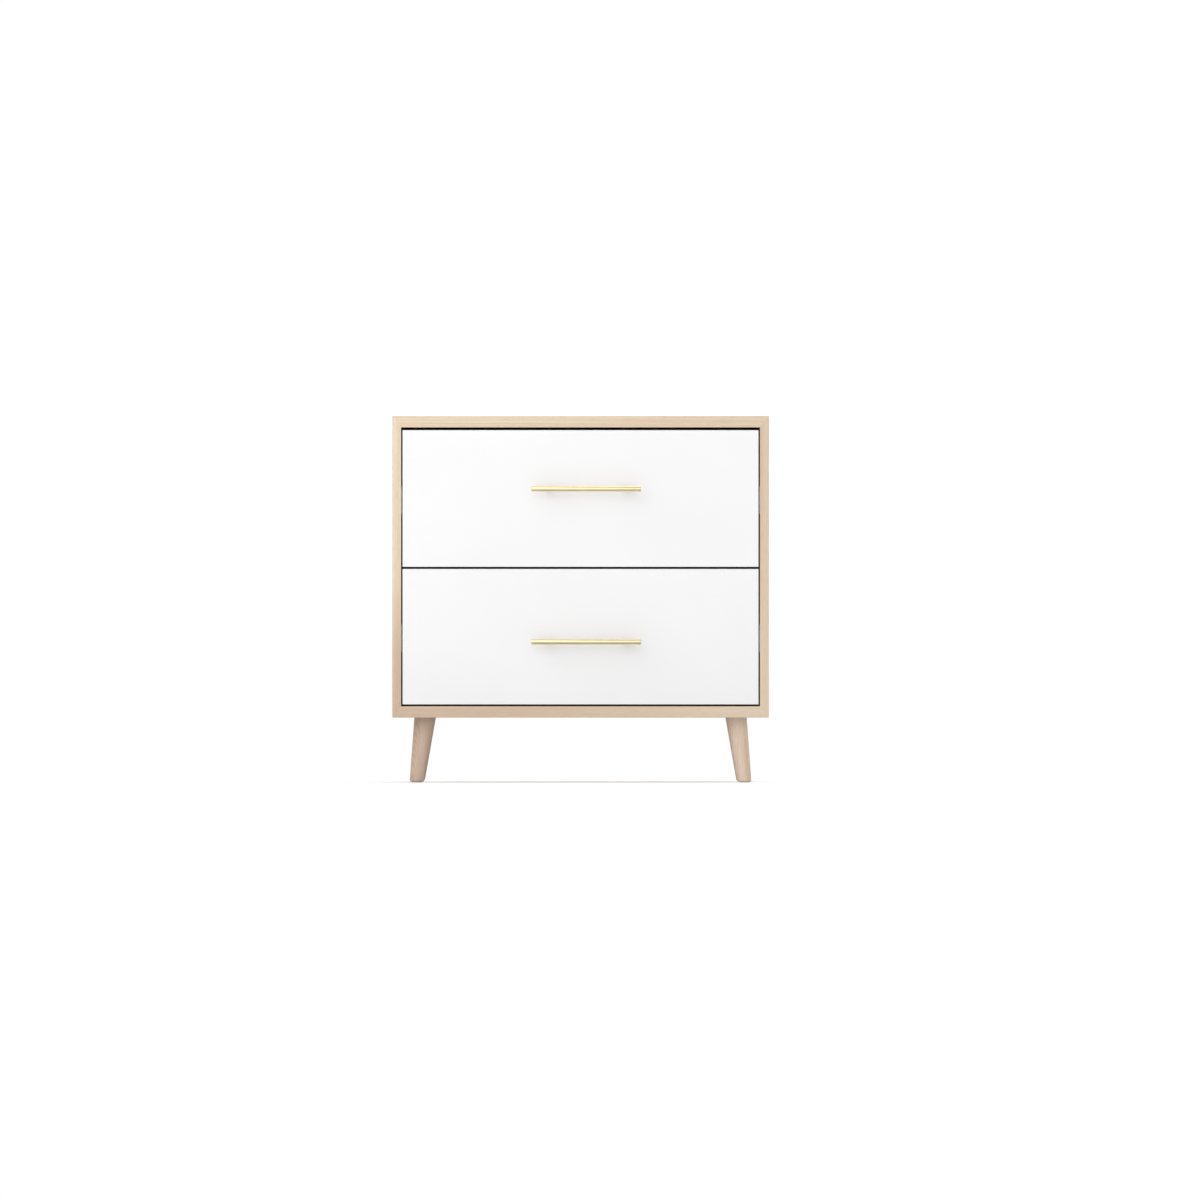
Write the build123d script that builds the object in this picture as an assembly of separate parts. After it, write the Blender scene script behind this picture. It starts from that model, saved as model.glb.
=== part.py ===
from build123d import *
import math
import os

# Two-drawer nightstand: a mitred, wood-veneered case on four splayed turned legs, with two inset
# lacquered drawers on ball-bearing slides. Millimetres, +Z up, front towards -Y. The origin is the
# centre of the overall footprint, pulls included, at floor level.

# ---------------------------------------------------------------- case
case_width = 627.0
case_depth = 457.0
case_height = 502.0
deck_thickness = 19.0        # top and bottom panels
side_thickness = 15.0
corner_round = 1.2           # outer corners, seen from the front
edge_round = 0.8             # eased front edges
rebate_width = 8.0           # step in the back edges that holds the back panel
rebate_depth = 8.0
back_thickness = 6.0
back_clearance = 0.3
back_screw_pitch = 130.0     # largest spacing round the back panel
back_screw_corner = 35.0     # first screw, in from each corner
spline_width = 14.0          # loose keys inside the mitres
spline_thickness = 3.0
spline_offset = 9.0          # from the inner corner, along the mitre
spline_end_margin = 20.0     # the keys stop this far short of the front and of the rebate
joint_clearance = 0.1        # glue and sliding-in room of a piece in its groove

# ---------------------------------------------------------------- legs
leg_height = 108.0           # floor to the underside of the case
leg_inset = 54.0             # leg centre at its top, in from the case's sides, front and back
leg_splay = 13.3             # how far the foot stands out from the top, along X and along Y
leg_top_radius = 17.3
leg_foot_radius = 11.8
leg_foot_round = 3.0
plate_size = 60.0            # steel mounting plate, let in flush under the case
plate_thickness = 2.5
plate_corner = 6.0
plate_clearance = 0.3
boss_radius = 7.0            # threaded boss in the middle of the plate
boss_height = 9.0
boss_clearance = 0.5         # round the leaning boss in its pocket
bolt_radius = 4.0
bolt_in_leg = 30.0
bolt_clearance = 0.05
bolt_end_room = 1.5          # the bolt ends this far short of the boss's top
bolt_chamfer = 1.3
glide_radius = 8.0
glide_thickness = 3.0
glide_proud = 1.0            # the nylon glide stands out below the wood
glide_clearance = 0.1
glide_round = 0.5
nail_radius = 1.2
nail_length = 14.0

# ---------------------------------------------------------------- drawer fronts
front_thickness = 18.0
front_setback = 1.0          # behind the front edges of the case
front_round = 0.8
front_side_gap = 2.3
front_top_gap = 4.5
front_middle_gap = 3.5
front_bottom_gap = 3.0
upper_front_height = 227.5

# ---------------------------------------------------------------- pulls
bar_length = 182.0
bar_radius = 4.75
bar_end_round = 0.9
pull_projection = 32.0       # drawer front to the outside of the bar
pull_centres = 128.0
pull_offset = 9.5            # right of the middle
upper_pull_drop = 97.7       # below the top edge of its drawer front
lower_pull_drop = 121.3
post_radius = 3.75
spigot_radius = 2.4          # the post's end, screwed into the bar
spigot_length = 2.6
post_clearance = 0.05

# ---------------------------------------------------------------- drawer boxes
box_thickness = 12.0         # plywood sides, front and back
box_top_drop = 25.0          # box edge below the front's top edge
box_bottom_rise = 20.0       # box edge above the front's bottom edge
box_joint = 6.0              # depth of the corner rebates and of the bottom's groove
box_bottom_thickness = 6.0
box_groove_rise = 10.0
box_edge_round = 1.0
box_extra_length = 5.0       # the box is longer than its slides

# ---------------------------------------------------------------- ball-bearing slides
slide_thickness = 12.7       # room between the case and the drawer box
slide_step = 50.0            # slides come in lengths this far apart
slide_setback = 2.0          # behind the drawer front's rear face
slide_back_room = 5.0
sheet_thickness = 1.2
bend_round = 0.4
outer_half_height = 22.5     # the three channels nest: outer, middle and inner
outer_lip = 2.4              # height of the lips turned from the flanges' free edges
middle_lip = 1.6
inner_lip = 1.5
lip_stagger = 0.8            # the outer channel's free edges stand back from the middle one's
channel_clearance = 0.7      # between one channel's web and the next one's free edges
head_clearance = 0.5         # over the screw heads
ball_room = 4.0              # between two nested flanges
ball_clearance = 0.05
cage_thickness = 0.8
cage_clearance = 0.6         # between a cage strip's edges and the channels
cage_hole_clearance = 0.2
cage_end_margin = 10.0       # cage inside the channels' overlap when the drawer is fully out
ball_pitch = 28.0
slide_screw_inset = 35.0     # first and last screw, from the slide's ends
access_clearance = 1.0       # round a screw's head, in the hole that lets it be reached

# ---------------------------------------------------------------- screws
screw_radius = 2.0
pilot_clearance = 0.05
pan_head_radius = 3.7
pan_head_height = 1.7
pan_head_round = 1.0
recess_width = 0.9           # cross recess in the heads
recess_span = 4.2
recess_depth = 0.9
csk_head_radius = 4.0
case_screw_length = 12.0     # into the case sides
box_screw_length = 10.0      # into the drawer sides
front_screw_length = 24.0    # through the box front into the drawer front
front_screw_inset = 85.0     # from the box's sides
front_screw_edge = 28.0      # from the box's upper and lower edges
plate_screw_length = 14.0
plate_screw_inset = 9.0
back_screw_length = 18.0
pull_screw_depth = 8.0       # into the post

# ---------------------------------------------------------------- places worked out
total_height = leg_height + case_height
pull_proud = pull_projection - front_setback
y_front = (pull_proud - case_depth) / 2
y_back = y_front + case_depth
z_low = leg_height
z_deck = z_low + deck_thickness
z_ceiling = total_height - deck_thickness
half_width = case_width / 2
half_inside = half_width - side_thickness
y_rebate = y_back - rebate_depth
y_face = y_front + front_setback
y_box = y_face + front_thickness
y_slide = y_box + slide_setback
slide_length = slide_step * math.floor((y_rebate - slide_back_room - y_slide) / slide_step)
box_length = slide_length + box_extra_length
y_box_end = y_box + box_length
half_box = half_inside - slide_thickness
leg_slope = math.hypot(leg_splay, leg_splay) / (z_low - glide_proud)
cage_length = slide_length / 2 - 2 * cage_end_margin
middle_web = sheet_thickness + pan_head_height + head_clearance
middle_reach = slide_thickness - sheet_thickness - channel_clearance
outer_reach = middle_reach - lip_stagger
inner_near = middle_web + sheet_thickness + channel_clearance
outer_cage = (sheet_thickness + cage_clearance, outer_reach - sheet_thickness - cage_clearance)
inner_cage = (
    middle_web + sheet_thickness + cage_clearance,
    slide_thickness - sheet_thickness - cage_clearance,
)
middle_half_height = outer_half_height - sheet_thickness - ball_room
inner_half_height = middle_half_height - sheet_thickness - ball_room
upper_top = z_ceiling - front_top_gap
upper_bottom = upper_top - upper_front_height
lower_top = upper_bottom - front_middle_gap
lower_bottom = z_deck + front_bottom_gap

DRAWERS = {
    "upper": (upper_bottom, upper_top, upper_top - upper_pull_drop),
    "lower": (lower_bottom, lower_top, lower_top - lower_pull_drop),
}
SIDES = {"left": -1, "right": 1}
ENDS = {"front": -1, "rear": 1}
TINY = 0.01                  # a tolerance on places, and a cutter's reach past the face it opens


# ---------------------------------------------------------------- helpers
def block(x, y, z):
    """A box from its low and high value along each axis."""
    size = [abs(high - low) for low, high in (x, y, z)]
    middle = [(low + high) / 2 for low, high in (x, y, z)]
    return Pos(*middle) * Box(*size)


def prism(outline, y_low, y_high, rounding=0.0):
    """An outline of (x, z) points, pulled out along Y, with its corners rounded if asked."""
    face = make_face(Plane.XZ * Polyline(*outline, close=True))
    if rounding:
        face = fillet(face.vertices(), rounding)
    return Pos(0, y_low, 0) * extrude(face, amount=y_high - y_low, dir=(0, 1, 0))


def placed(shape, origin, direction):
    """A shape made along +Z, moved to origin with +Z along direction."""
    return Plane(origin=origin, z_dir=direction).location * shape


def edges_at(part, axis, **place):
    """The edges along axis whose middle is at the named coordinates, such as Y=0."""
    return [
        e for e in part.edges().filter_by(axis)
        if all(abs(getattr(e.center(), k) - v) < TINY for k, v in place.items())
    ]


def rod(radius, length, start=0.0):
    """A cylinder along +Z from start."""
    return Pos(0, 0, start) * Cylinder(radius, length, align=(Align.CENTER, Align.CENTER, Align.MIN))


def cross_recess(top):
    """The cutter for a cross recess in a screw's head, whose top is at that height."""
    slot = Box(recess_width, recess_span, recess_depth, align=(Align.CENTER, Align.CENTER, Align.MAX))
    return Pos(0, 0, top) * (slot + Rot(0, 0, 90) * slot)


def pan_screw(length):
    """A screw along Z: its head stands on z = 0 and its shank goes down."""
    head = rod(pan_head_radius, pan_head_height)
    head = fillet(head.edges().group_by(Axis.Z)[-1], pan_head_round)
    return head + rod(screw_radius, length, -length) - cross_recess(pan_head_height)


def pilot(length):
    """The cutter for a screw's hole."""
    return rod(screw_radius + pilot_clearance, length + 2 * pilot_clearance, -length - pilot_clearance)


def csk_height(extra=0.0):
    return csk_head_radius + extra - screw_radius


def csk_screw(length):
    """A countersunk screw along Z: its flat head ends at z = 0 and its shank goes down."""
    height = csk_height()
    cone = Pos(0, 0, -height) * Cone(
        screw_radius, csk_head_radius, height, align=(Align.CENTER, Align.CENTER, Align.MIN)
    )
    return cone + rod(screw_radius, length, -length) - cross_recess(0)


def csk_cutter():
    """The cutter for a countersink, a little larger than the head."""
    clearance = 2 * pilot_clearance
    return Pos(0, 0, -csk_height(clearance)) * Cone(
        screw_radius, csk_head_radius + clearance, csk_height(clearance),
        align=(Align.CENTER, Align.CENTER, Align.MIN),
    )


def spaced(low, high, pitch):
    """Even places from low to high, no further apart than pitch."""
    gaps = math.ceil((high - low) / pitch)
    return [low + (high - low) * i / gaps for i in range(gaps + 1)]


def write(name, *solids):
    """Writes one node, of one solid or a group of them."""
    shape = solids[0] if len(solids) == 1 else Compound(children=list(solids))
    export_step(shape, f"parts/{name}.step")


# ---------------------------------------------------------------- case
def case_envelope():
    """The outside of the whole case, with rounded corners and eased front edges."""
    body = block((-half_width, half_width), (y_front, y_back), (z_low, total_height))
    body = fillet(body.edges().filter_by(Axis.Y), corner_round)
    return fillet(body.faces().sort_by(Axis.Y)[0].edges(), edge_round)


def back_recess():
    x_reach = half_inside + rebate_width
    return block(
        (-x_reach, x_reach),
        (y_rebate, y_back + TINY),
        (z_deck - rebate_width, z_ceiling + rebate_width),
    )


def spline_places():
    """A plane in the middle of each mitre's key, its local X across the mitre."""
    mitre = math.hypot(side_thickness, deck_thickness)
    for sx in SIDES.values():
        for sz, z_inner in ((-1, z_deck), (1, z_ceiling)):
            x = sx * (half_inside + spline_offset * side_thickness / mitre)
            z = z_inner + sz * spline_offset * deck_thickness / mitre
            across = (sx * deck_thickness, 0, -sz * side_thickness)
            middle = (y_front + y_rebate) / 2
            yield Plane(origin=(x, middle, z), x_dir=across, z_dir=(0, 1, 0))


def splines(clearance=0.0):
    length = y_rebate - y_front - 2 * spline_end_margin
    key = Box(
        spline_width + 2 * clearance,
        spline_thickness + 2 * clearance,
        length + 2 * clearance,
    )
    return [plane.location * key for plane in spline_places()]


def deck(z_outer, z_inner):
    """The top or bottom panel: mitred at both ends, with its inner front edge eased."""
    panel = prism(
        [(-half_width, z_outer), (half_width, z_outer), (half_inside, z_inner), (-half_inside, z_inner)],
        y_front, y_back,
    )
    return fillet(edges_at(panel, Axis.X, Y=y_front, Z=z_inner), edge_round)


def side_panel(sx):
    """A side panel: mitred at both ends, with its inner front edge eased."""
    panel = prism(
        [(sx * half_width, z_low), (sx * half_width, total_height),
         (sx * half_inside, z_ceiling), (sx * half_inside, z_deck)],
        y_front, y_back,
    )
    return fillet(edges_at(panel, Axis.Z, Y=y_front, X=sx * half_inside), edge_round)


def back_panel():
    x_reach = half_inside + rebate_width - back_clearance
    z_reach = rebate_width - back_clearance
    return block(
        (-x_reach, x_reach),
        (y_rebate, y_rebate + back_thickness),
        (z_deck - z_reach, z_ceiling + z_reach),
    )


def back_screw_places():
    """Screws round the back panel, half-way into the rebate."""
    inset = rebate_width / 2
    x_edge, low, high = half_inside + inset, z_deck - inset, z_ceiling + inset
    corner = back_screw_corner
    across = spaced(corner - x_edge, x_edge - corner, back_screw_pitch)
    upwards = spaced(low + corner, high - corner, back_screw_pitch)
    places = [(x, z) for x in across for z in (low, high)]
    places += [(sx * x_edge, z) for sx in SIDES.values() for z in upwards]
    return [(x, y_rebate + back_thickness, z) for x, z in places]


def cut_all(part, cutters):
    for cutter in cutters:
        part = part - cutter
    return part


# ---------------------------------------------------------------- legs
def leg_frames():
    """For each leg: its name, its top point at the case, its foot point and its upward direction."""
    for end, sy in ENDS.items():
        for side, sx in SIDES.items():
            y_edge = y_front if sy < 0 else y_back
            top = Vector(sx * (half_width - leg_inset), y_edge - sy * leg_inset, z_low)
            foot = top + Vector(sx * leg_splay, sy * leg_splay, glide_proud - z_low)
            yield f"{end}_{side}", top, foot, (top - foot).normalized()


def leg(top, foot, up):
    """A tapered, turned leg, cut level at both ends, bored for its bolt and its glide's nail."""
    length = (top - foot).length
    taper = (leg_top_radius - leg_foot_radius) / length
    overrun = leg_top_radius
    cone = Cone(
        leg_foot_radius - taper * overrun,
        leg_top_radius + taper * overrun,
        length + 2 * overrun,
        align=(Align.CENTER, Align.CENTER, Align.MIN),
    )
    reach = leg_top_radius * 4
    slab = block(
        (top.X - reach, top.X + reach), (top.Y - reach, top.Y + reach), (glide_proud, z_low)
    )
    body = placed(cone, foot - up * overrun, up) & slab
    body = fillet(body.edges().group_by(Axis.Z)[0], leg_foot_round)
    bolt_bore = placed(rod(bolt_radius + bolt_clearance, bolt_in_leg * 2, -bolt_in_leg), top, up)
    return body - bolt_bore - glide(foot, glide_clearance)


def glide(foot, clearance=0.0):
    """A nail-in nylon glide: a disc that stands on the floor, and its nail."""
    disc = rod(glide_radius + clearance, glide_thickness + clearance)
    nail = rod(nail_radius + clearance, nail_length + glide_thickness + clearance)
    solid = Pos(foot.X, foot.Y, 0) * (disc + nail)
    if clearance:
        return solid
    return fillet(solid.edges().group_by(Axis.Z)[0], glide_round)


def plate_outline(size, thickness):
    plate = Box(size, size, thickness, align=(Align.CENTER, Align.CENTER, Align.MIN))
    return fillet(plate.edges().filter_by(Axis.Z), plate_corner)


def plate_screw_places(top):
    offset = plate_size / 2 - plate_screw_inset
    return [(top.X + sx * offset, top.Y + sy * offset, z_low) for sx in (-1, 1) for sy in (-1, 1)]


def leg_plate(top, up):
    """A flush steel plate with a leaning threaded boss, and four countersunk holes."""
    plate = Pos(top.X, top.Y, z_low) * plate_outline(plate_size, plate_thickness)
    boss = placed(rod(boss_radius, boss_height * 2, -boss_height), top, up)
    above = block(
        (top.X - plate_size, top.X + plate_size), (top.Y - plate_size, top.Y + plate_size),
        (z_low, z_low + plate_thickness + boss_height),
    )
    body = plate + (boss & above)
    body -= placed(rod(bolt_radius + bolt_clearance, boss_height * 4, -boss_height * 2), top, up)
    down = (0, 0, -1)
    return cut_all(
        body,
        [placed(pilot(plate_thickness * 2) + csk_cutter(), p, down) for p in plate_screw_places(top)],
    )


def leg_pocket(top):
    """What is cut from the case's underside for one plate, its boss and its screws."""
    recess = Pos(top.X, top.Y, z_low - TINY) * plate_outline(
        plate_size + 2 * plate_clearance, plate_thickness + TINY
    )
    depth = plate_thickness + boss_height
    radius = boss_radius * math.hypot(1, leg_slope) + depth * leg_slope + boss_clearance
    boss_room = Pos(top.X, top.Y, z_low) * rod(radius, depth + joint_clearance)
    holes = [placed(pilot(plate_screw_length), p, (0, 0, -1)) for p in plate_screw_places(top)]
    return [recess + boss_room, *holes]


def leg_bolt(top, up):
    """A hanger bolt, half in the leg and half in the plate's boss."""
    start = joint_clearance - bolt_in_leg
    bolt = rod(bolt_radius, plate_thickness + boss_height - bolt_end_room - start, start)
    return placed(chamfer(bolt.edges().group_by(Axis.Z)[0], bolt_chamfer), top, up)


# ---------------------------------------------------------------- slides
def sheet_outline(path):
    """The outline of a folded sheet whose middle line follows path."""
    half = sheet_thickness / 2
    points = [Vector(u, v, 0) for u, v in path]
    normals = []
    for a, b in zip(points, points[1:]):
        along = (b - a).normalized()
        normals.append(Vector(-along.Y, along.X, 0))
    offsets = [normals[0] * half]
    for before, after in zip(normals, normals[1:]):
        offsets.append((before + after) * (half / (1 + before.dot(after))))
    offsets.append(normals[-1] * half)
    left = [p + o for p, o in zip(points, offsets)]
    right = [p - o for p, o in zip(points, offsets)]
    return left + right[::-1]


def channel(sx, z, y_low, web, free, half_height, lip):
    """One channel of a slide: a web, two flanges to free, and lips turned by lip, outwards if positive.
    web and free are the middles of the web and of the lips, measured from the case side."""
    flange = half_height - sheet_thickness / 2
    lip_end = flange + lip
    path = [
        (free, lip_end), (free, flange), (web, flange),
        (web, -flange), (free, -flange), (free, -lip_end),
    ]
    outline = [(sx * (half_inside - p.X), z + p.Y) for p in sheet_outline(path)]
    return prism(outline, y_low, y_low + slide_length, bend_round)


def at_side(sx, depth):
    """X at a depth from the case side's inner face."""
    return sx * (half_inside - depth)


def slide_screw_places(sx, z, depth):
    inset = slide_screw_inset
    return [(at_side(sx, depth), y_slide + y, z) for y in (inset, slide_length / 2, slide_length - inset)]


def outer_rail(sx, z):
    """The channel on the case side."""
    half = sheet_thickness / 2
    rail = channel(sx, z, y_slide, half, outer_reach - half, outer_half_height, half - outer_lip)
    holes = [placed(pilot(sheet_thickness * 3), p, (-sx, 0, 0))
             for p in slide_screw_places(sx, z, sheet_thickness * 2)]
    return cut_all(rail, holes)


def middle_rail(sx, z):
    """The floating channel, with holes to reach the screws behind it."""
    half = sheet_thickness / 2
    web, free = middle_web + half, middle_reach - half
    rail = channel(sx, z, y_slide, web, free, middle_half_height, middle_lip)
    access = rod(pan_head_radius + access_clearance, sheet_thickness * 4, -sheet_thickness * 2)
    holes = [placed(access, p, (-sx, 0, 0)) for p in slide_screw_places(sx, z, web)]
    return cut_all(rail, holes)


def inner_rail(sx, z):
    """The channel on the drawer box's side."""
    half = sheet_thickness / 2
    web, free = slide_thickness - half, inner_near + half
    rail = channel(sx, z, y_slide, web, free, inner_half_height, inner_lip)
    holes = [placed(pilot(sheet_thickness * 3), p, (sx, 0, 0))
             for p in slide_screw_places(sx, z, slide_thickness - sheet_thickness * 2)]
    return cut_all(rail, holes)


def ball_cage(sx, z, strip, flange_half_height):
    """Two strips, above and below, each with its row of balls over a flange, along its middle."""
    row_height = flange_half_height + ball_room / 2
    radius = ball_room / 2 - ball_clearance
    y_low = y_slide + (slide_length - cage_length) / 2
    count = math.floor(cage_length / ball_pitch)
    first = y_low + (cage_length - (count - 1) * ball_pitch) / 2
    solids = []
    for sz in (1, -1):
        z_row = z + sz * row_height
        band = block(
            sorted(at_side(sx, depth) for depth in strip),
            (y_low, y_low + cage_length),
            (z_row - cage_thickness / 2, z_row + cage_thickness / 2),
        )
        centres = [(at_side(sx, sum(strip) / 2), first + i * ball_pitch, z_row) for i in range(count)]
        hole = rod(radius + cage_hole_clearance, ball_room, -ball_room / 2)
        solids.append(cut_all(band, [Pos(*c) * hole for c in centres]))
        solids += [Pos(*c) * Sphere(radius) for c in centres]
    return solids


# ---------------------------------------------------------------- drawers
def front_screw_places(z_box_low, z_box_high):
    x = half_box - front_screw_inset
    return [
        (sx * x, y_box + box_thickness, z)
        for sx in SIDES.values()
        for z in (z_box_low + front_screw_edge, z_box_high - front_screw_edge)
    ]


def post_places(z_pull):
    return [(pull_offset + sx * pull_centres / 2, y_face, z_pull) for sx in SIDES.values()]


def pull_bar(z_pull):
    """A round bar with softened ends and two blind holes for its posts."""
    y_axis = y_face - pull_projection + bar_radius
    bar = rod(bar_radius, bar_length, -bar_length / 2)
    bar = placed(fillet(bar.edges().filter_by(GeomType.CIRCLE), bar_end_round), (0, 0, 0), (1, 0, 0))
    bar = Pos(pull_offset, y_axis, z_pull) * bar
    socket = rod(spigot_radius + post_clearance, bar_radius + spigot_length, -spigot_length)
    sockets = [placed(socket, (x, y_axis, z), (0, 1, 0)) for x, _, z in post_places(z_pull)]
    return cut_all(bar, sockets), y_axis


def pull_post(place, y_axis):
    """A post from the drawer front to the bar, saddled to it, with a spigot and a tapped hole."""
    x, y, z = place
    reach = y - y_axis
    forward = (0, -1, 0)
    saddle = rod(bar_radius + post_clearance, bar_radius * 4, -bar_radius * 2)
    shaft = placed(rod(post_radius, reach), place, forward) - placed(saddle, (x, y_axis, z), (1, 0, 0))
    spigot = placed(rod(spigot_radius, reach + spigot_length - post_clearance), place, forward)
    tapped = rod(screw_radius + pilot_clearance, pull_screw_depth + pilot_clearance)
    return shaft + spigot - placed(tapped, place, forward)


def make_drawer(name, z_bottom, z_top, z_pull):
    z_box_low, z_box_high = z_bottom + box_bottom_rise, z_top - box_top_drop
    x_inner = half_box - box_thickness
    z_slide = (z_box_low + z_box_high) / 2
    back = (0, 1, 0)

    # front panel
    x_front = half_inside - front_side_gap
    front = block((-x_front, x_front), (y_face, y_box), (z_bottom, z_top))
    front = fillet(front.faces().sort_by(Axis.Y)[0].edges(), front_round)
    inside = y_box + box_thickness
    screw_places = front_screw_places(z_box_low, z_box_high)
    screw_holes = [placed(pilot(front_screw_length), p, back) for p in screw_places]
    pull_places = [(x, inside, z) for x, _, z in post_places(z_pull)]
    pull_length = inside - y_face + pull_screw_depth
    pull_holes = [placed(pilot(pull_length), p, back) for p in pull_places]
    write(f"{name}_drawer_front", cut_all(front, screw_holes + pull_holes))
    write(f"{name}_front_screws", *[placed(pan_screw(front_screw_length), p, back) for p in screw_places])

    # pull
    bar, y_axis = pull_bar(z_pull)
    write(f"{name}_pull_bar", bar)
    write(f"{name}_pull_posts", *[pull_post(p, y_axis) for p in post_places(z_pull)])
    write(f"{name}_pull_screws", *[placed(pan_screw(pull_length), p, back) for p in pull_places])

    # box: corner rebates in the sides, and a groove all round for the bottom
    tongue = box_joint - joint_clearance
    groove = block(
        (-x_inner - box_joint, x_inner + box_joint),
        (inside - box_joint, y_box_end - box_thickness + box_joint),
        (z_box_low + box_groove_rise - joint_clearance,
         z_box_low + box_groove_rise + box_bottom_thickness + joint_clearance),
    )
    z_span = (z_box_low, z_box_high)
    for side, sx in SIDES.items():
        panel = block(sorted((sx * x_inner, sx * half_box)), (y_box, y_box_end), z_span)
        rebate_x = sorted((sx * (x_inner - TINY), sx * (x_inner + box_joint)))
        for y_span in ((y_box - TINY, inside), (y_box_end - box_thickness, y_box_end + TINY)):
            panel -= block(rebate_x, y_span, (z_box_low - TINY, z_box_high + TINY))
        places = slide_screw_places(sx, z_slide, slide_thickness)
        panel = cut_all(panel - groove, [placed(pilot(box_screw_length), p, (sx, 0, 0)) for p in places])
        panel = fillet(
            edges_at(panel, Axis.Y, X=sx * half_box, Z=z_box_high), box_edge_round
        )
        write(f"{name}_box_{side}_side", panel)
    end_x = (-x_inner - tongue, x_inner + tongue)
    box_front = block(end_x, (y_box, inside), z_span) - groove
    write(f"{name}_box_front", cut_all(box_front, screw_holes + pull_holes))
    write(f"{name}_box_back", block(end_x, (y_box_end - box_thickness, y_box_end), z_span) - groove)
    write(
        f"{name}_box_bottom",
        block(
            end_x,
            (inside - tongue, y_box_end - box_thickness + tongue),
            (z_box_low + box_groove_rise, z_box_low + box_groove_rise + box_bottom_thickness),
        ),
    )

    # slides
    drawer_screws, case_screws, case_holes = [], [], {}
    for side, sx in SIDES.items():
        slide = f"{name}_{side}"
        write(f"{slide}_cabinet_rail", outer_rail(sx, z_slide))
        write(f"{slide}_middle_rail", middle_rail(sx, z_slide))
        write(f"{slide}_drawer_rail", inner_rail(sx, z_slide))
        write(f"{slide}_outer_ball_cage", *ball_cage(sx, z_slide, outer_cage, middle_half_height))
        write(f"{slide}_inner_ball_cage", *ball_cage(sx, z_slide, inner_cage, inner_half_height))
        head = slide_thickness - sheet_thickness
        drawer_screws += [
            placed(pan_screw(box_screw_length), p, (sx, 0, 0)) for p in slide_screw_places(sx, z_slide, head)
        ]
        inward = (-sx, 0, 0)
        case_places = slide_screw_places(sx, z_slide, sheet_thickness)
        case_screws += [placed(pan_screw(case_screw_length), p, inward) for p in case_places]
        case_holes[side] = [placed(pilot(case_screw_length), p, inward) for p in case_places]
    write(f"{name}_rail_screws", *drawer_screws)
    return case_screws, case_holes


# ---------------------------------------------------------------- build
def main():
    os.makedirs("parts", exist_ok=True)
    slide_screws, side_holes = [], {side: [] for side in SIDES}
    for name, span in DRAWERS.items():
        screws, holes = make_drawer(name, *span)
        slide_screws += screws
        for side in SIDES:
            side_holes[side] += holes[side]
    write("cabinet_rail_screws", *slide_screws)

    envelope, recess = case_envelope(), back_recess()
    back_places = back_screw_places()
    back_holes = [placed(pilot(back_screw_length), p, (0, 1, 0)) for p in back_places]
    keyways = splines(joint_clearance)
    shared = [recess, *keyways, *back_holes]
    legs = list(leg_frames())
    pockets = [cutter for _, top, _, _ in legs for cutter in leg_pocket(top)]
    write("top_panel", cut_all(deck(total_height, z_ceiling) & envelope, shared))
    write("bottom_panel", cut_all(deck(z_low, z_deck) & envelope, shared + pockets))
    for side, sx in SIDES.items():
        write(f"{side}_side_panel", cut_all(side_panel(sx) & envelope, shared + side_holes[side]))
    write("back_panel", cut_all(back_panel(), back_holes))
    write("back_panel_screws", *[placed(pan_screw(back_screw_length), p, (0, 1, 0)) for p in back_places])
    write("corner_splines", *splines())

    for name, top, foot, up in legs:
        write(f"{name}_leg", leg(top, foot, up))
    write("leg_plates", *[leg_plate(top, up) for _, top, _, up in legs])
    write("leg_bolts", *[leg_bolt(top, up) for _, top, _, up in legs])
    write("leg_plate_screws", *[
        placed(csk_screw(plate_screw_length), p, (0, 0, -1))
        for _, top, _, _ in legs for p in plate_screw_places(top)
    ])
    write("foot_glides", *[glide(foot) for _, _, foot, _ in legs])
    print("slide length and drawer travel:", slide_length)


main()
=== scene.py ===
import math

import bpy
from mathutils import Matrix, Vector


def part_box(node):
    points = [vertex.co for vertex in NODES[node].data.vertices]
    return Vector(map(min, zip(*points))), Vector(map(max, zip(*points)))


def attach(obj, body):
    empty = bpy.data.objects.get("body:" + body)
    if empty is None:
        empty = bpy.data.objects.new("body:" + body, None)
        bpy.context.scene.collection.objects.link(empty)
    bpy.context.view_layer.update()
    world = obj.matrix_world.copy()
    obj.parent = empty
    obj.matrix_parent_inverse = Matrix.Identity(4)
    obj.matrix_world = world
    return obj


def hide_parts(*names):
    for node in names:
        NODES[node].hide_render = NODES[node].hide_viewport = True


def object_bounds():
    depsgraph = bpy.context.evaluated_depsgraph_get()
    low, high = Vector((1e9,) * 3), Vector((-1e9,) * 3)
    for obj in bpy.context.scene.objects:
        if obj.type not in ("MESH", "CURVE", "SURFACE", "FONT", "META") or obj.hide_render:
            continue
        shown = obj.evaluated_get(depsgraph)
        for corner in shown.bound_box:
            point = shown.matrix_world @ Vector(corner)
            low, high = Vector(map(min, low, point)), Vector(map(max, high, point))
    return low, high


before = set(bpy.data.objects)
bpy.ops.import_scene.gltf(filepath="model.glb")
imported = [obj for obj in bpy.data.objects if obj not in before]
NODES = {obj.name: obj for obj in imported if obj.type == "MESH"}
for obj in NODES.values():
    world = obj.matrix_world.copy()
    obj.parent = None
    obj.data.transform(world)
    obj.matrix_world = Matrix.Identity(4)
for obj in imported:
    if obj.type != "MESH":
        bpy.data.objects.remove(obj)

cad_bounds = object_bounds()
LOW, HIGH = cad_bounds
CENTRE = (LOW + HIGH) / 2
MM = 0.001
DRAWERS = ("upper", "lower")
SIDES = ("left", "right")
ENDS = ("front", "rear")

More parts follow.
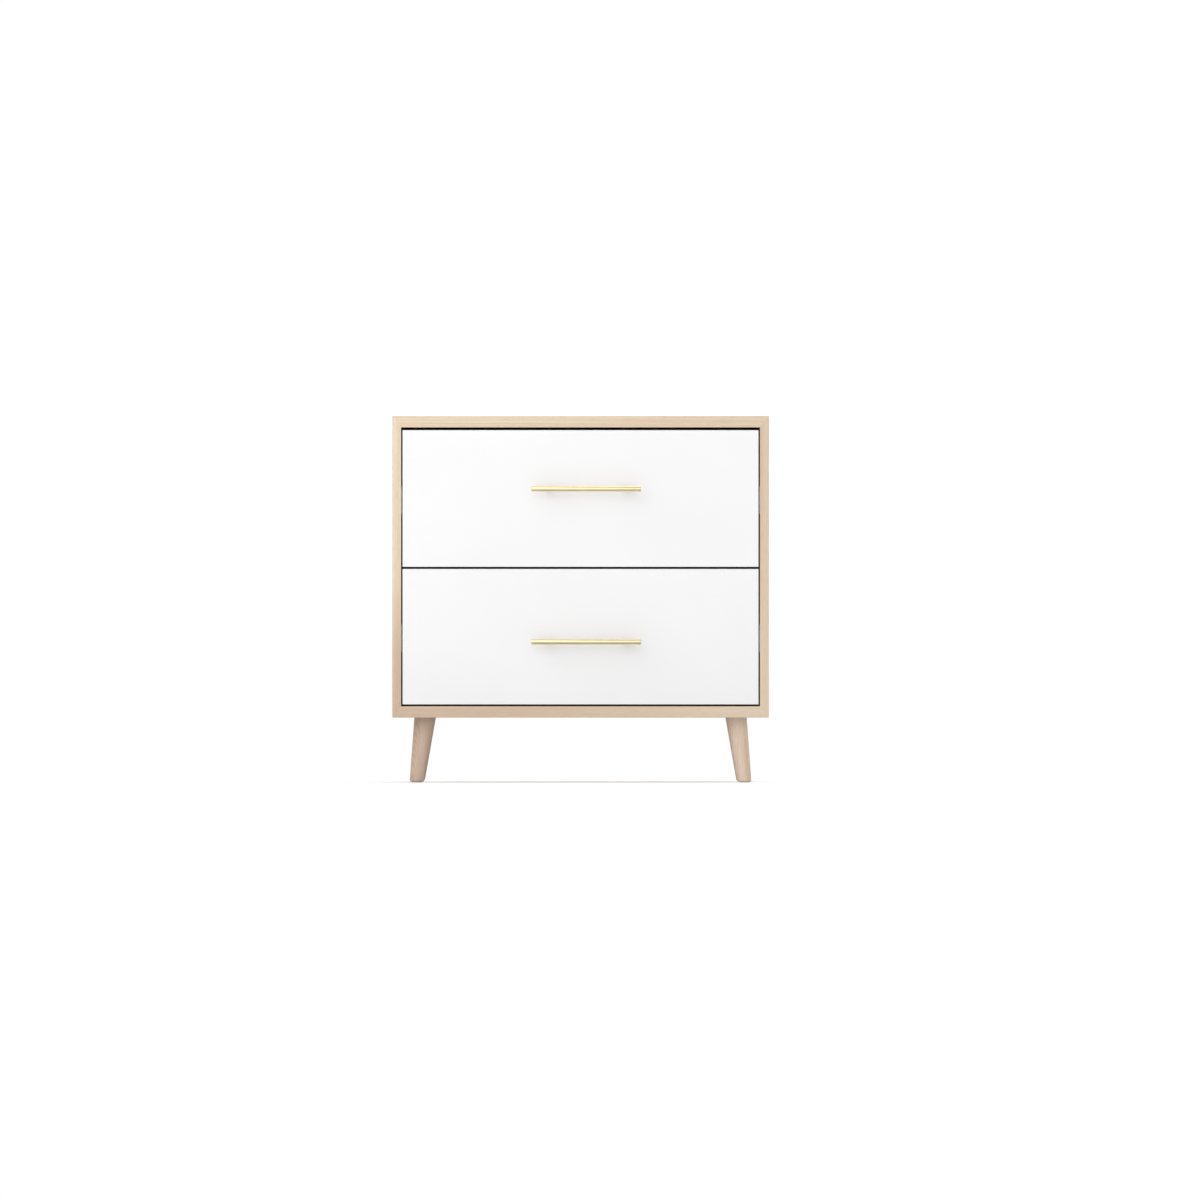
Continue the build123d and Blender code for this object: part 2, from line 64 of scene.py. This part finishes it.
PLATE_HALF = 30 * MM
GLIDE_RADIUS = 8 * MM
LEG_TOP_RADIUS = 17.3 * MM
LEG_FOOT_RADIUS = 11.8 * MM
LEG_FOOT_ROUND = 3 * MM
BAR_END_ROUND = 0.9 * MM
CASE_EDGE = 0.3 * MM         # how far sharp edges are eased
BOX_EDGE = 0.4 * MM
FRONT_EDGE = 0.4 * MM
SHARP_ANGLE = 35             # edges of a new mesh stay sharp above this many degrees
EASED_ANGLE = 40             # and edges of a CAD node are eased above this many

# The thickness axis of each part of a drawer box, and how many plies it has.
BOX_PARTS = {
    "left_side": ("X", 9),
    "right_side": ("X", 9),
    "front": ("Y", 9),
    "back": ("Y", 9),
    "bottom": ("Z", 5),
}

EDGING = 1.0 * MM            # the solid strip on the case's front edges
LEAF_WIDTH = 152 * MM
LEAF_JOINT = 0.3 * MM
LEAF_STEP_ALONG = 0.371      # from one veneer leaf's pattern to the next one's, in metres
LEAF_STEP_DEEP = 0.0053
RING_SPACING = 2.1 * MM
RING_WANDER = 12 * MM        # how far the rings stray in slow curves
RING_RIPPLE = 4 * MM         # and in quick ones
HEART_DEPTH = 62 * MM        # from a board's face to the middle of its log
HEART_LEAN = 0.012
PANEL_STEP_ALONG = 0.31      # the same from panel to panel
PANEL_STEP_ACROSS = 0.17
LEG_STEPS = (0.41, 0.37, 0.29)   # and from leg to leg, along X, Y and Z
BACK_SHIFT = (0.5, 0.9, 0.4)

AMBIENT = 0.50               # the soft light from all round
REFLECTED = 0.46             # the studio as metal and gloss see it
WHITE = 1.03                 # the studio as the camera sees it
SUN_STRENGTH = 0.40 * math.pi
SUN_SPREAD = 50              # degrees
FLOOR_ALBEDO = 0.90
FLOOR_REFLECTED = 0.50       # the floor's albedo as metal and gloss see it
FLOOR_GLOW = 0.24            # added to the floor as the camera sees it
FLOOR_REACH = 150.0


# ------------------------------------------------------------------ node graphs
class Graph:
    """The nodes of a material or a world, with a short call for each kind that this script needs."""

    def __init__(self, owner):
        owner.use_nodes = True
        self.owner = owner
        self.tree = owner.node_tree
        self.tree.nodes.clear()

    def node(self, kind, inputs, **settings):
        """A new node. Each of its inputs is a value, or the socket that it is linked to."""
        node = self.tree.nodes.new(kind)
        for key, value in settings.items():
            setattr(node, key, value)
        for key, value in inputs.items():
            if isinstance(value, bpy.types.NodeSocket):
                self.tree.links.new(value, node.inputs[key])
            else:
                node.inputs[key].default_value = value
        return node

    def math(self, operation, a, b=0.0, c=0.0):
        return self.node("ShaderNodeMath", {0: a, 1: b, 2: c}, operation=operation).outputs[0]

    def stretch(self, x, y, z, factors):
        """A vector of three lengths, each times its factor."""
        scaled = [self.math("MULTIPLY", length, factor) for length, factor in zip((x, y, z), factors)]
        return self.node("ShaderNodeCombineXYZ", dict(enumerate(scaled))).outputs[0]

    def separate(self, vector):
        return self.node("ShaderNodeSeparateXYZ", {0: vector}).outputs

    def place(self):
        """The point's own place on the object, in metres."""
        return self.node("ShaderNodeTexCoord", {}).outputs["Object"]

    def by_ray(self, kind, ordinary, special):
        """One value for ordinary rays, and another for one kind of ray."""
        is_special = self.node("ShaderNodeLightPath", {}).outputs[kind]
        inputs = {"Value": is_special, "To Min": ordinary, "To Max": special}
        return self.node("ShaderNodeMapRange", inputs).outputs[0]

    def noise(self, vector, detail=2.0, roughness=0.5, scale=1.0, distortion=0.0):
        inputs = {
            "Vector": vector, "Scale": scale, "Detail": detail,
            "Roughness": roughness, "Distortion": distortion,
        }
        return self.node("ShaderNodeTexNoise", inputs, noise_dimensions="3D").outputs["Fac"]

    def remap(self, value, low, high, to_low=0.0, to_high=1.0):
        """A smooth step from to_low, where the value is low, to to_high, where it is high."""
        inputs = {"Value": value, "From Min": low, "From Max": high, "To Min": to_low, "To Max": to_high}
        return self.node("ShaderNodeMapRange", inputs, interpolation_type="SMOOTHSTEP").outputs[0]

    def mix(self, factor, a, b):
        """Colour a where the factor is 0, and b where it is 1."""
        return self.node("ShaderNodeMix", {0: factor, 6: a, 7: b}, data_type="RGBA").outputs[2]

    def bump(self, height, distance, strength):
        inputs = {"Height": height, "Distance": distance, "Strength": strength}
        return self.node("ShaderNodeBump", inputs).outputs[0]

    def finish(self, **inputs):
        """The Principled shader, its sockets named with _ for a space."""
        sockets = {key.replace("_", " "): value for key, value in inputs.items()}
        shader = self.node("ShaderNodeBsdfPrincipled", sockets)
        self.node("ShaderNodeOutputMaterial", {0: shader.outputs[0]})
        return self.owner


def material_graph(name):
    """The graph of a new material."""
    return Graph(bpy.data.materials.new(name))


def srgb(red, green, blue):
    """A linear colour from its 0 to 255 display values."""
    def linear(value):
        value /= 255
        return value / 12.92 if value <= 0.04045 else ((value + 0.055) / 1.055) ** 2.4
    return (linear(red), linear(green), linear(blue), 1.0)


CASE_TONES = (srgb(234, 219, 195), srgb(230, 210, 177), srgb(206, 180, 157), srgb(178, 149, 124))
LEG_TONES = (srgb(238, 219, 199), srgb(233, 210, 184), srgb(204, 177, 160), srgb(170, 141, 119))
EVEN = ((0.0, 0.3), (0.5, 0.3))
LEG_ROSE = {"left": 0.90, "right": 0.0}
# Each panel's grain axis, and how rosy its front edging is at two places along the grain.
CASE_PANELS = {
    "top_panel": ("X", ((-0.25, 0.02), (0.25, 0.28))),
    "bottom_panel": ("X", ((-0.20, 1.0), (0.25, 0.45))),
    "left_side_panel": ("Z", ((0.19, 1.0), (0.36, 0.02))),
    "right_side_panel": ("Z", ((0.20, 0.60), (0.50, 0.80))),
}


# ------------------------------------------------------------------ wood
def grain_places(graph, axis, shift):
    """(along, across, deep): the point's place turned so that along follows the grain, in metres."""
    moved = graph.node("ShaderNodeVectorMath", {0: graph.place(), 1: shift}, operation="ADD").outputs[0]
    x, y, z = graph.separate(moved)
    return {"X": (x, y, z), "Z": (z, y, x)}[axis]


def grain_noise(graph, places, by_along, by_across, detail, roughness=0.5):
    """Noise drawn out along the grain. places are (along, across, deep)."""
    return graph.noise(graph.stretch(*places, (by_along, by_across, by_across)), detail, roughness)


def veneer_leaves(graph, first, width):
    """(number, across, joint): a point's leaf, how far it lies from the leaf's middle, and 1 at a joint."""
    counted = graph.math("DIVIDE", graph.math("SUBTRACT", graph.separate(graph.place())[1], first), width)
    number = graph.math("FLOOR", counted)
    part = graph.math("SUBTRACT", counted, number)
    across = graph.math("MULTIPLY", graph.math("SUBTRACT", part, 0.5), width)
    joint = graph.remap(graph.math("MULTIPLY", part, width), 0.0, LEAF_JOINT, 1.0, 0.0)
    return number, across, joint


def growth_rings(graph, along, across, deep):
    """0 to 1 through each ring of a log whose heart lies behind the face and leans along the grain."""
    wander = graph.noise(graph.stretch(along, across, deep, (0.9, 0.8, 0.8)), 1.0)
    ripple = graph.noise(graph.stretch(along, across, deep, (5.0, 16.0, 16.0)), 2.0)
    leant = graph.math("MULTIPLY_ADD", along, HEART_LEAN, HEART_DEPTH)
    depth = graph.math("ADD", deep, graph.math("MULTIPLY_ADD", wander, RING_WANDER, leant))
    across = graph.math("MULTIPLY_ADD", ripple, RING_RIPPLE, across)
    squares = [graph.math("MULTIPLY", length, length) for length in (across, depth)]
    radius = graph.math("SQRT", graph.math("ADD", *squares))
    good_years = graph.noise(graph.stretch(radius, radius, radius, (50, 50, 50)), 1.0)
    counted = graph.math("DIVIDE", radius, RING_SPACING)
    return graph.math("FRACT", graph.math("MULTIPLY_ADD", good_years, 2.5, counted))


def wood_marks(graph, places, ring_across):
    """(late, streaks, broad, fibres, pores): the marks of the grain, each from 0 to 1."""
    def grain(*settings):
        return grain_noise(graph, places, *settings)

    along, _, deep = places
    phase = growth_rings(graph, along, ring_across, deep)
    late = graph.math("MULTIPLY", graph.remap(phase, 0.45, 0.93), graph.remap(phase, 0.94, 1.0, 1.0, 0.0))
    late = graph.math("MULTIPLY", late, graph.remap(grain(1.7, 13, 2), 0.3, 0.7, 0.35, 1.0))
    streaks = graph.remap(grain(1.5, 105, 3, 0.55), 0.32, 0.68)
    broad = graph.remap(grain(1.2, 24, 2), 0.32, 0.68)
    fibres = graph.remap(grain(8, 820, 4, 0.65), 0.25, 0.75)
    early = graph.remap(phase, 0.0, 0.45, 1.0, 0.3)
    pores = graph.math("MULTIPLY", graph.remap(grain(50, 1900, 2), 0.60, 0.68), early)
    return late, streaks, broad, fibres, pores


def wood_blush(graph, axis, places, rosy, number):
    """How rosy the wood is. number is that of its veneer leaf, or None on solid wood."""
    (start, first_share), (end, last_share) = rosy
    along_board = graph.separate(graph.place())["XYZ".index(axis)]
    share = graph.remap(along_board, start, end, first_share, last_share)
    if number is not None:
        on_edging = graph.math("LESS_THAN", number, -0.5)
        on_leaves = graph.math("GREATER_THAN", number, -0.5)
        each_leaf = graph.remap(grain_noise(graph, places, 0.5, 3, 1), 0.35, 0.65, 0.10, 0.40)
        share = graph.math("MULTIPLY_ADD", on_leaves, each_leaf, graph.math("MULTIPLY", share, on_edging))
    bands = graph.remap(grain_noise(graph, places, 1.0, 60, 2, 0.6), 0.25, 0.75, 0.7, 1.0)
    return graph.math("MULTIPLY", share, bands)


def wood(name, axis, tones, rosy, shift, leaf=None, figure=0.25):
    """Pale whitewashed wood, open-pored.

    tones are the pale, yellow, rosy and dark colours. rosy is two (place along the grain, share) pairs.
    leaf is (start, width) of a panel's veneer leaves, side by side along Y, and rosy then holds only for
    the solid edging in front of them. figure is how dark the late wood of a ring is.
    """
    pale, yellow, rose, dark = tones
    pore_colour = tuple(0.70 * part for part in dark[:3]) + (1.0,)
    graph = material_graph(name)
    along, across, deep = grain_places(graph, axis, shift)
    number, ring_across = None, across
    if leaf:
        number, ring_across, joint = veneer_leaves(graph, *leaf)
        along = graph.math("MULTIPLY_ADD", number, LEAF_STEP_ALONG, along)
        deep = graph.math("MULTIPLY_ADD", number, LEAF_STEP_DEEP, deep)
    places = (along, across, deep)
    late, streaks, broad, fibres, pores = wood_marks(graph, places, ring_across)

    colour = graph.mix(graph.math("MULTIPLY", streaks, 0.8), pale, yellow)
    colour = graph.mix(wood_blush(graph, axis, places, rosy, number), colour, rose)
    shade = graph.math("MULTIPLY_ADD", broad, 0.10, graph.math("MULTIPLY", late, figure))
    shade = graph.math("MULTIPLY_ADD", streaks, 0.14, graph.math("MULTIPLY_ADD", fibres, 0.13, shade))
    colour = graph.mix(shade, colour, dark)
    colour = graph.mix(graph.math("MULTIPLY", pores, 0.45), colour, pore_colour)
    if leaf:
        colour = graph.mix(graph.math("MULTIPLY", joint, 0.35), colour, pore_colour)
    height = graph.math("SUBTRACT", graph.math("MULTIPLY", fibres, 0.25), pores)
    return graph.finish(
        Base_Color=colour,
        Roughness=graph.math("MULTIPLY_ADD", graph.math("ADD", fibres, pores), 0.06, 0.46),
        Normal=graph.bump(height, 0.06 * MM, 0.7),
        Coat_Weight=0.06,
        Coat_Roughness=0.35,
    )


def plywood(name, axis, low, high, plies):
    """Birch plywood: one veneer on the broad faces, and its plies in turn on the edges.

    axis is that of its thickness, which runs from low to high.
    """
    graph = material_graph(name)
    x, y, z = graph.separate(graph.place())
    through, along, across = {"X": (x, y, z), "Y": (y, x, z), "Z": (z, x, y)}[axis]
    margin = 0.01 * MM
    inputs = {
        "Value": through,
        "From Min": low - margin,
        "From Max": high + margin,
        "To Max": float(plies),
    }
    counted = graph.node("ShaderNodeMapRange", inputs).outputs[0]
    crosswise = graph.math("MODULO", graph.math("FLOOR", counted), 2.0)
    glue = graph.remap(graph.math("PINGPONG", counted, 0.5), 0.0, 0.08, 1.0, 0.0)

    def grain(by_along, by_across, detail, roughness=0.5, distortion=0.0):
        vector = graph.stretch(along, across, through, (by_along, by_across, 1.0))
        return graph.noise(vector, detail, roughness, distortion=distortion)

    broad = graph.remap(grain(4, 34, 3, 0.5, 0.7), 0.3, 0.7)
    fine = grain(22, 900, 3, 0.6)
    flecks = graph.remap(grain(160, 1300, 1), 0.64, 0.70)
    end_grain = graph.remap(graph.noise(graph.place(), 2, 0.6, scale=1600), 0.3, 0.7)
    colour = graph.mix(broad, srgb(232, 218, 194), srgb(221, 202, 172))
    colour = graph.mix(graph.math("MULTIPLY", fine, 0.30), colour, srgb(200, 173, 136))
    colour = graph.mix(graph.math("MULTIPLY", flecks, 0.35), colour, srgb(172, 140, 104))
    inner = graph.mix(end_grain, srgb(190, 154, 110), srgb(160, 122, 84))
    darker_ply = graph.math("MULTIPLY", crosswise, 0.75)
    edge = graph.math("MAXIMUM", darker_ply, graph.math("MULTIPLY", glue, 0.55))
    not_a_face = graph.math("MULTIPLY", graph.math("GREATER_THAN", counted, 0.1), edge)
    not_a_face = graph.math("MULTIPLY", graph.math("LESS_THAN", counted, plies - 0.1), not_a_face)
    return graph.finish(
        Base_Color=graph.mix(not_a_face, colour, inner),
        Roughness=0.42,
        Normal=graph.bump(graph.math("ADD", fine, flecks), 0.03 * MM, 0.5),
        Coat_Weight=0.25,
        Coat_Roughness=0.25,
    )


# ------------------------------------------------------------------ other finishes
def white_lacquer(name):
    """Sprayed satin lacquer: an even white, with a faint orange peel and slightly uneven gloss."""
    graph = material_graph(name)
    place = graph.place()
    peel = graph.noise(place, scale=420)
    drift = graph.noise(place, scale=5)
    dust = graph.remap(graph.noise(place, 1.0, scale=2600), 0.72, 0.80)
    return graph.finish(
        Base_Color=graph.mix(graph.remap(drift, 0.3, 0.7), srgb(238, 238, 239), srgb(236, 236, 237)),
        Roughness=graph.remap(peel, 0.2, 0.8, 0.32, 0.42),
        Normal=graph.bump(graph.math("MULTIPLY_ADD", dust, 0.4, peel), 0.02 * MM, 0.6),
        Coat_Weight=0.10,
        Coat_Roughness=0.30,
    )


def brass(name):
    """Pale satin brass, brushed round the bar, a little duller here and there."""
    graph = material_graph(name)
    x, y, z = graph.separate(graph.place())
    brushed = graph.noise(graph.stretch(x, y, z, (6000, 60, 60)), 3.0, 0.6)
    dull = graph.remap(graph.noise(graph.place(), 3.0, 0.55, scale=55), 0.35, 0.75)
    colour = graph.mix(graph.remap(brushed, 0.3, 0.7), srgb(255, 241, 200), srgb(250, 232, 184))
    colour = graph.mix(graph.math("MULTIPLY", dull, 0.35), colour, srgb(238, 216, 164))
    return graph.finish(
        Base_Color=colour,
        Metallic=1.0,
        Roughness=graph.math("MULTIPLY_ADD", brushed, 0.12, 0.24),
        Normal=graph.bump(brushed, 0.012 * MM, 0.6),
    )


def zinc_steel(name):
    """Zinc-plated sheet steel: a faint spangle, and rolling lines along Y."""
    graph = material_graph(name)
    place = graph.place()
    rolled = graph.noise(graph.stretch(*graph.separate(place), (900, 12, 900)), 3.0, 0.6)
    spangle = graph.noise(place, 2.0, 0.6, scale=240, distortion=0.8)
    return graph.finish(
        Base_Color=graph.mix(graph.remap(spangle, 0.35, 0.65), srgb(214, 215, 216), srgb(192, 194, 196)),
        Metallic=1.0,
        Roughness=graph.math("MULTIPLY_ADD", rolled, 0.18, 0.24),
        Normal=graph.bump(rolled, 0.015 * MM, 0.5),
    )


def nylon(name):
    """Off-white moulded nylon, with a matt, lightly scuffed skin."""
    graph = material_graph(name)
    place = graph.place()
    grain = graph.noise(place, 2.0, 0.6, scale=1500)
    scuffs = graph.remap(graph.noise(place, 3.0, 0.7, scale=130, distortion=1.0), 0.5, 0.75)
    return graph.finish(
        Base_Color=graph.mix(graph.math("MULTIPLY", scuffs, 0.5), srgb(228, 224, 214), srgb(196, 190, 178)),
        Roughness=graph.remap(grain, 0.3, 0.7, 0.42, 0.58),
        Normal=graph.bump(grain, 0.03 * MM, 0.5),
    )


# ------------------------------------------------------------------ meshes
def add_object(name, data):
    """A new object in the scene."""
    added = bpy.data.objects.new(name, data)
    bpy.context.scene.collection.objects.link(added)
    return added


def mesh_object(name, vertices, faces, material):
    """A new mesh, smooth but for its sharp edges."""
    mesh = bpy.data.meshes.new(name)
    mesh.from_pydata(vertices, [], faces)
    mesh.validate()
    mesh.polygons.foreach_set("use_smooth", [True] * len(mesh.polygons))
    mesh.set_sharp_from_angle(angle=math.radians(SHARP_ANGLE))
    mesh.materials.append(material)
    return add_object(name, mesh)


def skin(rings):
    """Faces that join equal rings in turn, with a flat cap at each end."""
    count = len(rings[0])
    vertices = [point for ring in rings for point in ring]
    faces = []
    for r in range(len(rings) - 1):
        for i in range(count):
            j = (i + 1) % count
            faces.append((r * count + i, r * count + j, (r + 1) * count + j, (r + 1) * count + i))
    last = (len(rings) - 1) * count
    faces.append(tuple(reversed(range(count))))
    faces.append(tuple(range(last, last + count)))
    return vertices, faces


def rounded_rod_profile(length, radius, rounding, steps=5):
    """(distance, radius) along a rod whose two ends have rounded edges."""
    start = [
        (rounding * (1 - math.sin(turn)), radius - rounding * (1 - math.cos(turn)))
        for turn in (math.radians(90 - 90 * i / steps) for i in range(steps + 1))
    ]
    return start + [(length - distance, r) for distance, r in reversed(start)]


def rod_rings(start, direction, profile, segments):
    """Rings round a straight rod that begins at start."""
    direction = direction.normalized()
    side = direction.orthogonal().normalized()
    other = direction.cross(side)
    turns = [2 * math.pi * i / segments for i in range(segments)]
    return [
        [start + direction * d + (side * math.cos(t) + other * math.sin(t)) * r for t in turns]
        for d, r in profile
    ]


# ------------------------------------------------------------------ pieces
def paint(node, material):
    """Gives a CAD node its material."""
    slots = NODES[node].data.materials
    slots.clear()
    slots.append(material)


def ease_edges(node, width):
    """Takes the knife edge off a CAD node's corners."""
    piece = NODES[node]
    weld = piece.modifiers.new("weld", "WELD")
    weld.merge_threshold = 0.002 * MM
    bevel = piece.modifiers.new("ease", "BEVEL")
    bevel.width = width
    bevel.segments = 2
    bevel.limit_method = "ANGLE"
    bevel.angle_limit = math.radians(EASED_ANGLE)
    bevel.use_clamp_overlap = True
    bevel.harden_normals = True


def make_case():
    """The case's four veneered panels, its back and its fixings."""
    leaf = (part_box("top_panel")[0].y + EDGING, LEAF_WIDTH)
    for i, (node, (axis, rosy)) in enumerate(CASE_PANELS.items()):
        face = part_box(node)[1]
        along, across = PANEL_STEP_ALONG * i, PANEL_STEP_ACROSS * i
        shift = {"X": (along, across, -face.z), "Z": (-face.x, across, along)}[axis]
        paint(node, wood(f"{node}_veneer", axis, CASE_TONES, rosy, shift, leaf))
        ease_edges(node, CASE_EDGE)
    paint("back_panel", wood("back_board", "Z", CASE_TONES, EVEN, BACK_SHIFT, figure=0.22))
    low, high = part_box("corner_splines")
    paint("corner_splines", plywood("spline_ply", "Y", low.y, high.y, 3))
    for node in ("back_panel_screws", "cabinet_rail_screws", "leg_plates", "leg_bolts", "leg_plate_screws"):
        paint(node, STEEL)
    paint("foot_glides", nylon("glide_nylon"))


def leg_ends(end, side):
    """(top, foot): the middles of a leg's two level ends, over its glide and under its plate."""
    glides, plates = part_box("foot_glides"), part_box("leg_plates")
    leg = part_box(f"{end}_{side}_leg")
    x, y = SIDES.index(side), ENDS.index(end)

    def corner(box, inset):
        return (box[x].x + (inset, -inset)[x], box[y].y + (inset, -inset)[y])

    top = Vector((*corner(plates, PLATE_HALF), leg[1].z))
    foot = Vector((*corner(glides, GLIDE_RADIUS), leg[0].z))
    return top, foot


def leg_rings(top, foot, segments=96, stations=10, rounding_steps=6):
    """Rings of a leaning, tapered leg that is cut level at both ends, with a rounded foot."""
    up = (top - foot).normalized()
    taper = (LEG_TOP_RADIUS - LEG_FOOT_RADIUS) / (top - foot).length
    side = up.orthogonal().normalized()
    other = up.cross(side)
    turns = [2 * math.pi * i / segments for i in range(segments)]

    def ring(z, inset):
        points = []
        for turn in turns:
            outward = side * math.cos(turn) + other * math.sin(turn)
            along = (z - foot.z - (LEG_FOOT_RADIUS - inset) * outward.z) / (up.z + taper * outward.z)
            points.append(foot + up * along + outward * (LEG_FOOT_RADIUS - inset + taper * along))
        return points

    bends = [math.radians(90 * i / rounding_steps) for i in range(rounding_steps)]
    rounded = [
        (foot.z + LEG_FOOT_ROUND * (1 - math.sin(b)), LEG_FOOT_ROUND * (1 - math.cos(b))) for b in bends
    ]
    straight = top.z - foot.z - LEG_FOOT_ROUND
    rises = [(foot.z + LEG_FOOT_ROUND + straight * i / stations, 0.0) for i in range(1, stations + 1)]
    return [ring(z, inset) for z, inset in sorted(rounded + rises)]


def make_legs():
    """The four turned legs, the left ones rosier."""
    for i, (end, side) in enumerate((e, s) for e in ENDS for s in SIDES):
        node = f"{end}_{side}_leg"
        rosy = ((0.0, LEG_ROSE[side]), (0.1, LEG_ROSE[side]))
        shift = tuple(step * i for step in LEG_STEPS)
        material = wood(f"{node}_wood", "Z", LEG_TONES, rosy, shift, figure=0.36)
        piece = mesh_object(f"{node}_turned", *skin(leg_rings(*leg_ends(end, side))), material)
        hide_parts(node)
        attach(piece, "case")


def make_pull_bar(drawer):
    """The round bar, its two ends squared off with a fine rounded edge."""
    node = f"{drawer}_pull_bar"
    low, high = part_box(node)
    radius = (high.z - low.z) / 2
    start = Vector((low.x, (low.y + high.y) / 2, (low.z + high.z) / 2))
    profile = rounded_rod_profile(high.x - low.x, radius, BAR_END_ROUND)
    bar = mesh_object(f"{drawer}_round_bar", *skin(rod_rings(start, Vector((1, 0, 0)), profile, 64)), BRASS)
    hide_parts(node)
    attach(bar, f"{drawer}_drawer")


def make_drawer(drawer):
    """A drawer's lacquered front, plywood box, pull, screws and slides."""
    paint(f"{drawer}_drawer_front", LACQUER)
    ease_edges(f"{drawer}_drawer_front", FRONT_EDGE)
    for part, (axis, plies) in BOX_PARTS.items():
        node = f"{drawer}_box_{part}"
        low, high = (corner["XYZ".index(axis)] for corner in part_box(node))
        paint(node, plywood(f"{node}_ply", axis, low, high, plies))
        ease_edges(node, BOX_EDGE)
    make_pull_bar(drawer)
    paint(f"{drawer}_pull_posts", BRASS)
    for node in ("front_screws", "pull_screws", "rail_screws"):
        paint(f"{drawer}_{node}", STEEL)
    for side in SIDES:
        for part in ("cabinet_rail", "middle_rail", "drawer_rail", "outer_ball_cage", "inner_ball_cage"):
            paint(f"{drawer}_{side}_{part}", STEEL)


# ------------------------------------------------------------------ studio
def make_floor():
    """A plain pale floor, white to the camera, darker as metal sees it, and clear from below."""
    graph = material_graph("studio_floor")
    inputs = {
        "Base Color": graph.by_ray("Is Glossy Ray", FLOOR_ALBEDO, FLOOR_REFLECTED),
        "Roughness": 0.9,
        "Specular IOR Level": 0.1,
        "Emission Color": (1, 1, 1, 1),
        "Emission Strength": graph.by_ray("Is Camera Ray", 0.0, FLOOR_GLOW),
    }
    top = graph.node("ShaderNodeBsdfPrincipled", inputs).outputs[0]
    clear = graph.node("ShaderNodeBsdfTransparent", {}).outputs[0]
    below = graph.node("ShaderNodeNewGeometry", {}).outputs["Backfacing"]
    shader = graph.node("ShaderNodeMixShader", {0: below, 1: top, 2: clear})
    graph.node("ShaderNodeOutputMaterial", {0: shader.outputs[0]})
    corners = [(x * FLOOR_REACH, y * FLOOR_REACH, 0) for x, y in ((-1, -1), (1, -1), (1, 1), (-1, 1))]
    mesh_object("floor", corners, [(0, 1, 2, 3)], graph.owner)


def place_light(name, light, place, aim):
    """Sets a lamp at a place, turned to its aim and unseen by the camera."""
    lamp = add_object(name, light)
    lamp.location = place
    lamp.rotation_mode = "QUATERNION"
    lamp.rotation_quaternion = (Vector(aim) - Vector(place)).to_track_quat("-Z", "Y")
    lamp.visible_camera = False


def soft_box(name, place, width, height, brightness):
    """A rectangular light that faces the object, and looks as bright at any size."""
    light = bpy.data.lights.new(name, "AREA")
    light.shape = "RECTANGLE"
    light.size = width
    light.size_y = height
    light.energy = brightness * math.pi * width * height
    place_light(name, light, place, CENTRE)


def make_world():
    """A white studio all round, with its own strength for the camera and for gloss."""
    graph = Graph(bpy.data.worlds.new("studio"))
    unseen = graph.by_ray("Is Glossy Ray", AMBIENT, REFLECTED)
    strength = graph.by_ray("Is Camera Ray", unseen, WHITE)
    background = graph.node("ShaderNodeBackground", {"Color": (1, 1, 1, 1), "Strength": strength})
    graph.node("ShaderNodeOutputWorld", {0: background.outputs[0]})
    bpy.context.scene.world = graph.owner


def make_lights():
    """A key from the upper left, a wide box in front and a soft sun from behind overhead."""
    soft_box("key", (-1.6, -2.1, 2.0), 3.0, 3.0, 1.15)
    soft_box("front", (0.0, -3.2, 1.1), 3.0, 2.4, 0.98)
    sun = bpy.data.lights.new("overhead", "SUN")
    sun.energy = SUN_STRENGTH
    sun.angle = math.radians(SUN_SPREAD)
    place_light("overhead", sun, (0.9, 1.1, 3.0), (0, 0, 0))


def make_camera():
    """A long lens, level and dead in front; the object stands a little left of the picture's middle."""
    distance, view_width, aim_right, aim_down = 75.0, 1.997, 0.0324, 0.0012
    camera = bpy.data.cameras.new("camera")
    camera.sensor_width = 36.0
    camera.lens = camera.sensor_width * distance / view_width
    camera.clip_end = 200.0
    eye = add_object("camera", camera)
    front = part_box("top_panel")[0].y
    eye.location = (CENTRE.x + aim_right, front - distance, CENTRE.z - aim_down)
    eye.rotation_euler = (math.radians(90), 0, 0)
    bpy.context.scene.camera = eye


STEEL = zinc_steel("zinc_steel")
LACQUER = white_lacquer("white_lacquer")
BRASS = brass("satin_brass")
make_camera()
make_world()
make_lights()
make_floor()
make_case()
make_legs()
for drawer_name in DRAWERS:
    make_drawer(drawer_name)

bpy.context.scene.view_settings.view_transform = "Standard"
